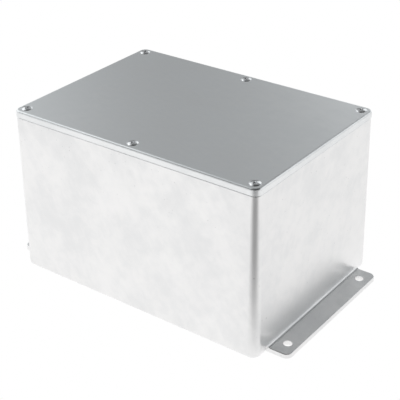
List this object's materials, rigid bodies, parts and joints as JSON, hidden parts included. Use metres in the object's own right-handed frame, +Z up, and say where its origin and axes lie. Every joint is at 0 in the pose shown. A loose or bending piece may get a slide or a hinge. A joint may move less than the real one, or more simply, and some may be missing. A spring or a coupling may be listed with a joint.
{
  "type": "flanged die cast enclosure",
  "caption": "Rectangular die cast aluminium box with a flat screwed lid and a drilled mounting flange along the foot of each end wall.",
  "frame": {"origin": "on the underside of the floor, under the middle of the box", "axes": "+X along the long side, from one flange to the other; +Y along the short side; +Z up through the lid"},
  "size_m": [0.2, 0.122, 0.1056],
  "materials": {
    "cast_body": "bare die casting, bright satin skin with fine pits and flow marks",
    "cast_lid": "bare die casting, smooth satin skin, faintly mottled",
    "plated_steel": "bright nickel-plated steel screw"
  },
  "bodies": {
    "root": {"base": "cast_body", "lid": "cast_lid", "screw_front_left": "plated_steel", "screw_front_middle": "plated_steel", "screw_front_right": "plated_steel", "screw_back_left": "plated_steel", "screw_back_middle": "plated_steel", "screw_back_right": "plated_steel"}
  },
  "joints": []
}
